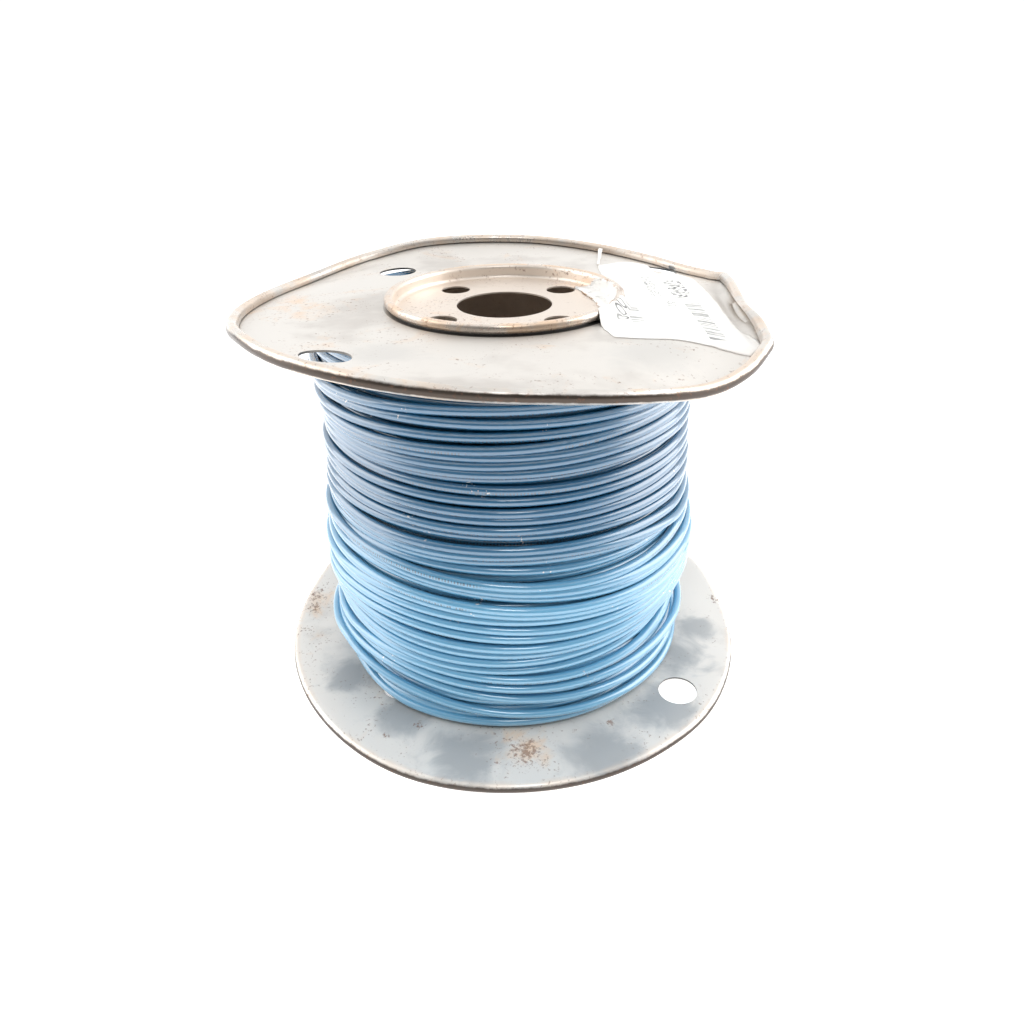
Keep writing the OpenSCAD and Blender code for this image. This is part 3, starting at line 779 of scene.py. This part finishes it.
def tone(name):
    """A colour of the Finishes group as RGBA."""
    return (*getattr(sizes("spool_finish"), name), 1.0)


def coat(add, colour, coats):
    """A colour with others laid over it in turn, each given as (share, colour)."""
    for share, over in coats:
        colour = add("Mix", {0: share, 6: colour, 7: over}, output=2, data_type="RGBA")
    return colour


# Tinplate by place: how far it is clouded, in bloom, in specks, filmed brown on its rolled edges and smeared,
# its least bloom, the grain above which specks show, how metallic and rough it is, circles (x, y, radius) in mm
# of smears, of more bloom by warmth and of crackled rust, and the ring of painted shade (mm from, mm to, how
# dark).
# The brown film is partly a painted dark reflection; the lower flange's smears are painted shade and a painted
# reflection of the winding.
TINPLATE = {
    "upper": {
        "cloudy": 0.4, "bloomy": 0.4, "least_bloom": 0.03, "specky": 0.9, "speck_grain": 0.6, "film": 1.0,
        "metallic": 0.75, "roughness": 0.42, "smear_and_shade_depth": 0.17, "smears_and_shade": [(-30, -46, 15), (36, -50, 18)],
        "warmth": 0.12, "warm": [(-64, -3, 26)], "patches": [(26, -73, 6), (64, -46, 2.2)],
        # Painted shade in a ring under the hub's bead
        "painted_shade": (36.2, 36.6, 0.9),
    },
    "lower": {
        "cloudy": 0.2, "bloomy": 0.2, "least_bloom": 0.04, "specky": 0.8, "speck_grain": 0.6, "film": 1.0,
        "metallic": 0.4, "roughness": 0.5, "smear_and_shade_depth": 0.75,
        "smears_and_shade": [(-56, -36, 16), (-36, -54, 16), (-15, -70, 22), (28, -70, 21), (48, -54, 19), (58, -28, 18),
                   (68, -12, 14)],
        "warmth": 0.22, "warm": [(3, -68, 17), (-76, 8, 18)],
        "patches": [(-78, 12, 9), (-76, 4, 7), (-30, -58, 4), (-40, -62, 3), (31, -58, 4), (4, -69, 12),
                    (79, 4, 5)],
        # Painted shadow in a ring under the winding
        "painted_shade": (54, 58.5, 0.75),
    },
    "hub": {
        "cloudy": 0.3, "bloomy": 0.7, "least_bloom": 0.3, "specky": 1.0, "speck_grain": 0.55, "film": 0.4,
        "metallic": 0.7, "roughness": 0.34, "warmth": 0.12, "warm": [(-22, -8, 16)], "patches": [(36, -2, 7)],
    },
    "barrel": {
        "cloudy": 1.0, "bloomy": 0.9, "least_bloom": 0.3, "specky": 0.8, "speck_grain": 0.6, "film": 1.0,
        "metallic": 0.6, "roughness": 0.6,
    },
}
# Radius at which the hub's bead begins, and over how much its film does
BEAD_FROM, BEAD_FADE = 33.6 * MM, 0.5 * MM


def near_any(add, flat, circles, noise, lift):
    """The noise, raised by up to lift towards the middle of any of the circles, each (x, y, radius) in mm."""
    nearest = None
    for x, y, size in circles:
        reach = add("VectorMath", flat, (x * MM, y * MM, 0), output="Value", operation="DISTANCE")
        near = add("MapRange", reach, 0, size * MM, lift, 0.0, **SOFT)
        nearest = near if nearest is None else add("Math", nearest, near, operation="MAXIMUM")
    return add("Math", nearest, noise, operation="ADD")


def rust_bloom(add, look, blooms, rim):
    """Share of thin rust film, in blooms and along the rolled edges."""
    bloomy = look["bloomy"]
    inner = add("MapRange", blooms, 0.62 - 0.2 * bloomy, 0.9 - 0.2 * bloomy, 0, 0.7, **SOFT)
    rim_place = add("MapRange", blooms, 0.38, 0.6, 0, min(1.0, 1.2 * bloomy), **SOFT)
    rim_bloom = add("Math", rim, rim_place, operation="MULTIPLY")
    bloom = add("Math", inner, rim_bloom, operation="MAXIMUM")
    return add("Math", bloom, look["least_bloom"], operation="MAXIMUM")


def brown_rust(add, look, where, flat, grains, blooms, rim):
    """Share of brown rust: specks in the blooms and on the rolled edges, and patches crackled about 2 mm from
    crack to crack, which thin out from their middles."""
    specky = look["specky"]
    grain_share = add("MapRange", grains, look["speck_grain"], 0.68, **SOFT)
    speck_place = add("MapRange", blooms, 0.6 - 0.14 * specky, 0.7 - 0.12 * specky, **SOFT)
    rim_place = add("Math", rim, 0.6, operation="MULTIPLY")
    speck_share = add("Math", speck_place, rim_place, operation="MAXIMUM")
    specks = add("Math", grain_share, speck_share, operation="MULTIPLY")
    rust = add("Math", specks, 0.6, operation="MULTIPLY")
    if "patches" in look:
        cracks = add("TexNoise", {"Vector": where, "Scale": 1 / 0.0013, "Detail": 6.0, "Roughness": 0.7,
                                  "Distortion": 0.3})
        raised = near_any(add, flat, look["patches"], cracks, 0.22)
        patch_share = add("MapRange", raised, 0.66, 0.76, 0, 0.7, **SOFT)
        rust = add("Math", rust, patch_share, operation="MAXIMUM")
    return rust


def brown_film_and_dark_reflection(add, look, normal, up, radial, streaks, rim):
    """Share of brown film on the outward flank of a rolled edge, thickest a little below its middle. It is
    partly real brown film and partly a painted dark reflection, laid by which way the surface faces.
    """
    tilt = add("Math", streaks, 0.6, -0.3, operation="MULTIPLY_ADD")
    facing = add("Math", up, tilt, operation="ADD")
    upper_side = add("MapRange", facing, 0.78, 0.42, **SOFT)
    lower_side = add("MapRange", facing, -0.75, -0.35, **SOFT)
    flank = add("Math", upper_side, lower_side, operation="MULTIPLY")
    outward = add("VectorMath", normal, radial, output="Value", operation="DOT_PRODUCT")
    outside = add("MapRange", outward, -0.5, 0.5, 0.35, **SOFT)
    on_rim = add("Math", rim, outside, operation="MULTIPLY")
    film = add("Math", flank, on_rim, operation="MULTIPLY")
    return add("Math", film, look["film"], operation="MULTIPLY")


def painted_shade_share(add, look, radius, radial, up, rim):
    """Share of painted shade: a dark ring on the side that faces up, thickest in front, standing for the shadow
    under the hub's bead on the upper flange and under the winding on the lower one, and painted shade on walls
    that face sideways off the rim, such as the cut walls of the tie holes."""
    low, high, most = look["painted_shade"]
    ring = add("MapRange", radius, low * MM, high * MM, most, 0.0, **SOFT)
    along_y = add("SeparateXYZ", radial, output=1)
    in_front = add("MapRange", along_y, 0.1, -0.8, 0.25, **SOFT)
    front_shade_ring = add("Math", ring, in_front, operation="MULTIPLY")
    top_side = add("MapRange", up, 0, 0.3)
    painted_shade = add("Math", front_shade_ring, top_side, operation="MULTIPLY")
    level = add("Math", up, operation="ABSOLUTE")
    # Walls that face sideways off the rim, such as the tie holes' cut walls, get painted shade
    cut = add("MapRange", level, 0.4, 0.1, 0, 0.8)
    off_rim = add("Math", 1.0, rim, operation="SUBTRACT")
    cut_wall_shade = add("Math", cut, off_rim, operation="MULTIPLY")
    return add("Math", painted_shade, cut_wall_shade, operation="MAXIMUM")


def tinplate(place):
    """Tin-plated sheet steel, cold pressed: a soft mirror, dulled in grey clouds and smears, with a peach rust
    bloom, brown specks, crackled rust patches, and a brown film on the flank of its rolled edges, which is
    partly a painted dark reflection. The lower flange's smears are painted shade and a painted reflection of
    the winding, and the flanges get painted shade in a ring under the hub's bead (upper) and the winding
    (lower), and on the walls of their tie holes."""
    name = "worn_tinplate_" + place
    if name in bpy.data.materials:
        return bpy.data.materials[name]
    look = TINPLATE[place]
    material, add = new_material(name)
    where = add("TexCoord", output="Object")
    normal = add("NewGeometry", output="Normal")
    up = add("SeparateXYZ", normal, output=2)
    flat = add("VectorMath", where, (1, 1, 0), operation="MULTIPLY")
    radial = add("VectorMath", flat, operation="NORMALIZE")
    radius = add("VectorMath", flat, output="Value", operation="LENGTH")
    if place in ("hub", "barrel"):
        rim = add("MapRange", radius, BEAD_FROM, BEAD_FROM + BEAD_FADE)
    else:
        rim = add("Attribute", attribute_name="rim", output="Fac")

    # Clouds about 30 mm across, blooms about 17 mm, streaks about 6 mm and grains about 1 mm
    clouds = add("TexNoise", {"Vector": where, "Scale": 1 / 0.030, "Detail": 4.0, "Roughness": 0.55})
    blooms = add("TexNoise", {"Vector": where, "Scale": 1 / 0.017, "Detail": 8.0, "Roughness": 0.64,
                              "Distortion": 0.6})
    streaks = add("TexNoise", {"Vector": where, "Scale": 1 / 0.006, "Detail": 6.0, "Roughness": 0.7})
    grains = add("TexNoise", {"Vector": where, "Scale": 1 / 0.0011, "Detail": 3.0, "Roughness": 0.6})
    if "warm" in look:
        blooms = near_any(add, flat, look["warm"], blooms, look["warmth"])
    bloom = rust_bloom(add, look, blooms, rim)
    rust = brown_rust(add, look, where, flat, grains, blooms, rim)
    # Brown film, partly a painted dark reflection on the rolled edges' outward flank
    film = brown_film_and_dark_reflection(add, look, normal, up, radial, streaks, rim)

    cloudy = look["cloudy"]
    dull_share = add("MapRange", clouds, 0.62 - 0.3 * cloudy, 0.8 - 0.3 * cloudy, 0, 0.9, **SOFT)
    coats = [(dull_share, tone("dull_tin"))]
    # Smears: handling marks on the upper flange; on the lower one painted shade and a painted reflection of the
    # winding
    if "smears_and_shade" in look:
        wisps = add("TexNoise", {"Vector": where, "Scale": 1 / 0.014, "Detail": 5.0, "Roughness": 0.6,
                                 "Distortion": 0.5})
        raised = near_any(add, flat, look["smears_and_shade"], wisps, 0.5)
        smear_and_shade_share = add("MapRange", raised, 0.55, 0.95, 0, look["smear_and_shade_depth"], **SOFT)
        coats.append((smear_and_shade_share, tone("smear_and_shade")))
    coats += [(bloom, tone("bloom")), (film, tone("rim_brown_and_reflection")), (rust, tone("rust"))]
    # Near-black painted shade, in a ring and on the tie holes' walls
    if "painted_shade" in look:
        coats.append((painted_shade_share(add, look, radius, radial, up, rim), linear("2E2C2A")))

    thin = add("Math", bloom, 0.4, operation="MULTIPLY")
    covered = add("Math", thin, rust, operation="MAXIMUM")
    metallic = add("MapRange", covered, 0, 1, look["metallic"], 0.1)
    rough = look["roughness"]
    gloss = add("MapRange", clouds, 0.3, 0.7, rough - 0.07, rough + 0.08)
    dulled = add("Math", covered, 0.35, gloss, operation="MULTIPLY_ADD")
    roughness = add("Math", rim, -0.14, dulled, operation="MULTIPLY_ADD")
    relief = add("Math", grains, streaks, operation="ADD")
    pits = add("Bump", {"Strength": 0.25, "Distance": 0.05 * MM, "Height": relief})
    shader = add("BsdfPrincipled", {"Base Color": coat(add, tone("tin"), coats), "Metallic": metallic,
                                    "Roughness": roughness, "Normal": pits})
    add("OutputMaterial", {"Surface": shader})
    return material


def jacket(layer):
    """Clear nylon over light blue PVC, extruded: a soft gloss, with grime, pale scuffs and small ticks printed
    along one side, and painted shade that darkens the upper turns."""
    material, add = new_material("nylon_jacket_" + layer)
    where = add("TexCoord", output="Object")
    height = add("SeparateXYZ", where, output=2)
    lay = add("UVMap", uv_map="lay")
    along, around = add("SeparateXYZ", lay).node.outputs[:2]

    # Grime in patches some 80 mm long, and painted shade, growing with height, that darkens the upper turns
    stretched = add("Mapping", {"Vector": lay, "Scale": (12.0, 3.0, 1.0)})
    grime = add("TexNoise", {"Vector": stretched, "Scale": 1.0, "Detail": 5.0, "Roughness": 0.6})
    shade_towards_top = add("MapRange", height, 0.028, 0.085, -0.25, 0.6, **SOFT)
    grime_and_shade = add("Math", grime, 0.5, shade_towards_top, operation="MULTIPLY_ADD")
    dull_share = add("MapRange", grime_and_shade, 0.25, 0.85, **SOFT)

    # Print: ticks under 1 mm long in runs of some 60 mm, on a line that wanders round the wire
    wander = add("TexNoise", {"W": along, "Scale": 1.7, "Detail": 1.0}, noise_dimensions="1D")
    line = add("Math", wander, 0.4, 0.2, operation="MULTIPLY_ADD")
    on_line = add("Math", around, line, 0.05, operation="COMPARE")
    phase = add("Math", along, 2 * math.pi / (0.9 * MM), operation="MULTIPLY")
    wave = add("Math", phase, operation="SINE")
    uneven = add("TexNoise", {"W": along, "Scale": 1 / 0.0012, "Detail": 1.0}, noise_dimensions="1D")
    ticks = add("Math", wave, 0.25, uneven, operation="MULTIPLY_ADD")
    tick_share = add("MapRange", ticks, 0.46, 0.60, 0, 0.7, **SOFT)
    runs = add("TexNoise", {"W": along, "Scale": 14.0, "Detail": 0.0}, noise_dimensions="1D")
    run_share = add("MapRange", runs, 0.42, 0.45)
    inked = add("Math", on_line, tick_share, operation="MULTIPLY")
    ink_share = add("Math", inked, run_share, operation="MULTIPLY")

    # Pale scuffs under 1 mm, in a few places
    dust = add("TexNoise", {"Vector": where, "Scale": 1 / 0.0012, "Detail": 2.0, "Roughness": 0.6})
    dusty = add("TexNoise", {"Vector": where, "Scale": 1 / 0.014, "Detail": 2.0})
    dust_grain = add("MapRange", dust, 0.63, 0.68, **SOFT)
    dust_place = add("MapRange", dusty, 0.63, 0.69, **SOFT)
    dust_share = add("Math", dust_grain, dust_place, operation="MULTIPLY")

    # Darker blue for grime and for painted shade towards the top
    coats = [(dull_share, tone("jacket_grimed_and_shaded")), (ink_share, tone("ink")), (dust_share, linear("E9DFD2"))]
    worn = add("MapRange", grime, 0.3, 0.7, 0.22, 0.34)
    shader = add("BsdfPrincipled", {"Base Color": coat(add, tone("jacket"), coats), "Roughness": worn,
                                    "IOR": 1.6, "Coat Weight": 1.0, "Coat Roughness": 0.12, "Coat IOR": 1.85})
    add("OutputMaterial", {"Surface": shader})
    return material


# Print on the label: (x from, x to, y from, y to, mm across a tick or 0 for bars, mm along, least noise that
# prints, strength), in mm
PRINT = [
    (52.6, 57.0, -41, -8.5, 0, 1.5, 0.48, 0.7),
    (35.0, 38.4, -26, -8.5, 0, 1.9, 0.50, 0.6),
    (51.2, 56.8, -2, 19.5, 1.5, 1.2, 0.52, 0.9),
    (44.8, 48.0, 0, 25, 0.9, 1.1, 0.52, 0.65),
    (47.2, 50.5, -11, -4.7, 0.9, 1.1, 0.52, 0.5),
    (41.5, 45.0, -25, -11, 1.2, 1.2, 0.55, 0.25),
    (38.0, 45.0, 34, 40, 1.1, 1.1, 0.54, 0.25),
]
BAR_SLANT = 0.4
# Plain rings by the hub: (x, y) in mm, their radius and half their line's width in mm, and how much they are
# flattened along y
RINGS = [(33.2, -14.0), (32.8, -17.6), (32.9, -21.4)]
RING_RADIUS, RING_LINE, RING_SQUEEZE = 1.5, 0.3, 1.1


def print_ink(add, plan):
    """Share of ink on the label: plain bars and ticks in blocks, and plain rings."""
    flat_x, flat_y = add("SeparateXYZ", plan).node.outputs[:2]
    ink = None
    for x0, x1, y0, y1, across, along, least, strength in PRINT:
        in_x = add("Math", flat_x, (x0 + x1) / 2 * MM, (x1 - x0) / 2 * MM, operation="COMPARE")
        in_y = add("Math", flat_y, (y0 + y1) / 2 * MM, (y1 - y0) / 2 * MM, operation="COMPARE")
        block = add("Math", in_x, in_y, operation="MULTIPLY")
        if across:
            scaled = add("Mapping", {"Vector": plan, "Scale": (1000 / across, 1000 / along, 1.0)})
            marks = add("TexNoise", {"Vector": scaled, "Scale": 1.0, "Detail": 0.0}, noise_dimensions="2D")
        else:
            slant = add("Math", flat_x, BAR_SLANT, flat_y, operation="MULTIPLY_ADD")
            marks = add("TexNoise", {"W": slant, "Scale": 1000 / along, "Detail": 0.0}, noise_dimensions="1D")
        shown = add("MapRange", marks, least, least + 0.04, 0, strength)
        printed = add("Math", block, shown, operation="MULTIPLY")
        ink = printed if ink is None else add("Math", ink, printed, operation="MAXIMUM")
    squeezed = add("Mapping", {"Vector": plan, "Scale": (1.0, RING_SQUEEZE, 1.0)})
    for x, y in RINGS:
        middle = (x * MM, RING_SQUEEZE * y * MM, 0)
        reach = add("VectorMath", squeezed, middle, output="Value", operation="DISTANCE")
        ring = add("Math", reach, RING_RADIUS * MM, RING_LINE * MM, operation="COMPARE")
        ink = add("Math", ink, ring, operation="MAXIMUM")
    return ink


def label_paper():
    """Uncoated label paper: matt white, with plain bars and ticks in worn grey print, and torn edges browned by
    glue."""
    name = "torn_label_paper"
    if name in bpy.data.materials:
        return bpy.data.materials[name]
    material, add = new_material(name)
    where = add("TexCoord", output="Object")
    torn = add("Attribute", attribute_name="torn", output="Fac")
    ink = print_ink(add, add("UVMap", uv_map="lay"))
    wear = add("TexNoise", {"Vector": where, "Scale": 1 / 0.004, "Detail": 5.0, "Roughness": 0.7})
    kept = add("MapRange", wear, 0.4, 0.62, 0.95, 0.55, **SOFT)
    faded = add("Math", ink, kept, operation="MULTIPLY")
    glue_place = add("MapRange", wear, 0.42, 0.56, 0, 0.9, **SOFT)
    glued = add("Math", torn, glue_place, operation="MULTIPLY")
    browned = coat(add, tone("paper"), [(faded, tone("ink")), (glued, tone("glue"))])
    fibres = add("TexNoise", {"Vector": where, "Scale": 1 / 0.0009, "Detail": 3.0})
    grain = add("Bump", {"Strength": 0.15, "Distance": 0.04 * MM, "Height": fibres})
    shader = add("BsdfPrincipled", {"Base Color": browned, "Roughness": 0.85, "IOR": 1.5, "Normal": grain})
    add("OutputMaterial", {"Surface": shader})
    return material


def copper():
    """Drawn copper, freshly cut: warm and bright, with fine drawing lines."""
    material, add = new_material("cut_copper")
    where = add("TexCoord", output="Object")
    scratch = add("TexNoise", {"Vector": where, "Scale": 1 / 0.0006, "Detail": 2.0})
    tarnish = coat(add, linear("D98E63"), [(scratch, linear("A55F3C"))])
    lines = add("Bump", {"Strength": 0.2, "Distance": 0.02 * MM, "Height": scratch})
    shader = add("BsdfPrincipled", {"Base Color": tarnish, "Metallic": 1.0, "Roughness": 0.3,
                                    "Normal": lines})
    add("OutputMaterial", {"Surface": shader})
    return material


# ---- Stage ----

CAMERA_AT = (1.07 * MM, -225.2 * MM, 182.05 * MM)
CAMERA_DOWN = 30.88
CAMERA_ROLL = -1.11
CAMERA_FOCAL_PIXELS = 739.2
CAMERA_CLIP = 0.01
FRAME_PIXELS = 1024
SENSOR = 36.0
FLOOR_HALF = 3.0
# Softboxes: (name, place in metres, tilt in degrees, side in metres, watts)
SOFTBOXES = [
    ("softbox_left", (-0.9, 0.1, 0.5), (0, -62, 0), 0.9, 5.5),
    ("softbox_right", (0.9, 0.1, 0.5), (0, 62, 0), 0.9, 8),
    ("softbox_front", (0.05, -0.5, 0.8), (34, 0, 0), 0.25, 1.2),
]


class SPOOL_OT_stage(bpy.types.Operator):
    """Add the floor, the soft white studio light and the camera"""
    bl_idname = "spool.stage"
    bl_label = "Studio"

    def execute(self, context):
        scene = context.scene
        scene.view_settings.view_transform = "Standard"
        corners = [[(x, y, 0.0) for x in (FLOOR_HALF, -FLOOR_HALF)] for y in (-FLOOR_HALF, FLOOR_HALF)]
        floor = surface("floor", np.array(corners))
        # White floor, whose glow grows away from the reel
        material, add = new_material("white_sweep")
        where = add("TexCoord", output="Object")
        away = add("VectorMath", where, output="Value", operation="LENGTH")
        glow = add("MapRange", away, 0.03, 0.065, 0.1, 0.6)
        shader = add("BsdfPrincipled", {"Base Color": linear("F8F8F8"), "Roughness": 0.8,
                                        "Emission Color": (1, 1, 1, 1), "Emission Strength": glow})
        add("OutputMaterial", {"Surface": shader})
        floor.data.materials.append(material)

        # A tent of light, bright at the back and dim in front
        world = bpy.data.worlds.new("light_tent")
        scene.world = world
        world.use_nodes = True
        world.node_tree.nodes.clear()
        add = partial(add_node, world.node_tree)
        side = add("TexCoord", output="Generated")
        back = add("SeparateXYZ", side, output=1)
        strength = add("MapRange", back, -0.85, 0.1, 0.15, 1.08, **SOFT)
        glow = add("Background", {"Color": (1, 1, 1, 1), "Strength": strength})
        add("OutputWorld", {"Surface": glow})

        for name, place, tilt, size, watts in SOFTBOXES:
            lamp = bpy.data.lights.new(name, "AREA")
            lamp.shape = "SQUARE"
            lamp.size = size
            lamp.energy = watts
            softbox = bpy.data.objects.new(name, lamp)
            softbox.location = place
            softbox.rotation_euler = [math.radians(angle) for angle in tilt]
            scene.collection.objects.link(softbox)

        lens = bpy.data.cameras.new("camera")
        lens.sensor_width = SENSOR
        lens.lens = CAMERA_FOCAL_PIXELS / FRAME_PIXELS * SENSOR
        lens.clip_start = CAMERA_CLIP
        camera = bpy.data.objects.new("camera", lens)
        camera.location = CAMERA_AT
        down, roll = math.radians(90 - CAMERA_DOWN), math.radians(CAMERA_ROLL)
        camera.rotation_mode = "XYZ"
        camera.rotation_euler = (Matrix.Rotation(down, 3, "X") @ Matrix.Rotation(roll, 3, "Z")).to_euler()
        scene.collection.objects.link(camera)
        scene.camera = camera
        return {"FINISHED"}


# ---- Add-on ----

class SPOOL_PT_panel(bpy.types.Panel):
    """Lists the spool's pieces"""
    bl_idname = "SPOOL_PT_panel"
    bl_label = "Wire Spool"
    bl_space_type = "VIEW_3D"
    bl_region_type = "UI"
    bl_category = "Wire Spool"

    def draw(self, context):
        for operator in OPERATORS:
            self.layout.operator(operator.bl_idname)


GROUPS = {
    "spool_flange": FlangeSizes,
    "spool_hub": HubSizes,
    "spool_wire": WireSizes,
    "spool_paper": PaperSizes,
    "spool_finish": Finishes,
}
OPERATORS = [
    SPOOL_OT_stage,
    SPOOL_OT_hub,
    SPOOL_OT_upper_flange,
    SPOOL_OT_lower_flange,
    SPOOL_OT_winding,
    SPOOL_OT_label,
]
CLASSES = [*GROUPS.values(), *OPERATORS, SPOOL_PT_panel]


def register():
    for item in CLASSES:
        bpy.utils.register_class(item)
    for name, group in GROUPS.items():
        setattr(bpy.types.Scene, name, PointerProperty(type=group))


def unregister():
    for name in GROUPS:
        delattr(bpy.types.Scene, name)
    for item in reversed(CLASSES):
        bpy.utils.unregister_class(item)


def main():
    """Registers the add-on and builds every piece."""
    register()
    bpy.ops.spool.stage()
    bpy.ops.spool.hub()
    bpy.ops.spool.upper_flange()
    bpy.ops.spool.lower_flange()
    bpy.ops.spool.winding()
    bpy.ops.spool.label()


if __name__ == "__main__":
    main()
